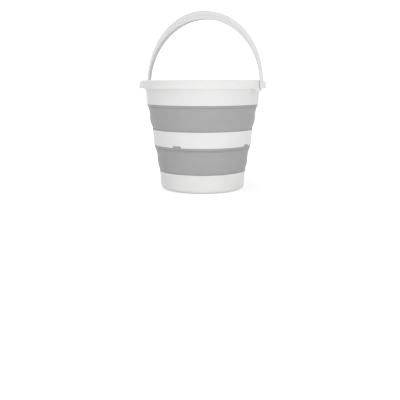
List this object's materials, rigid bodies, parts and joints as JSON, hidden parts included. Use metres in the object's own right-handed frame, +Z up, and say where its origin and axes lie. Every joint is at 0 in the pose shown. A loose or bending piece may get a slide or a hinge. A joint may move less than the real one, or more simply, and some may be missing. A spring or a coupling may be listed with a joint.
{
  "type": "collapsible camp bucket",
  "caption": "Round camp bucket with rigid rings joined by folding bands, a rolled rim with a hang tab, and a swing handle that folds down round the rim.",
  "frame": {"origin": "centre of the underside of the base, on the floor", "axes": "+Z up along the bucket's axis, X through the two handle pivots, +Y towards the hang tab; the handle folds down towards -Y"},
  "size_m": [0.321, 0.3328, 0.4288],
  "materials": {
    "white_plastic": "satin moulded polypropylene",
    "grey_rubber": "matte thermoplastic rubber"
  },
  "bodies": {
    "base": {"base_cup": "white_plastic", "lower_band": "grey_rubber"},
    "middle": {"middle_ring": "white_plastic", "upper_band": "grey_rubber"},
    "top": {"top_ring": "white_plastic"},
    "bail": {"handle": "white_plastic"}
  },
  "joints": [
    {"name": "lower_fold", "type": "slide", "parent": "base", "child": "middle", "axis": [0, 0, -1], "range_m": [0, 0.104], "deforming": ["lower_band"]},
    {"name": "upper_fold", "type": "slide", "parent": "middle", "child": "top", "axis": [0, 0, -1], "range_m": [0, 0.097], "deforming": ["upper_band"]},
    {"name": "handle_pivot", "type": "hinge", "parent": "top", "child": "bail", "pos_m": [0, 0, 0.2525], "axis": [1, 0, 0], "range_deg": [-85, 90]}
  ]
}
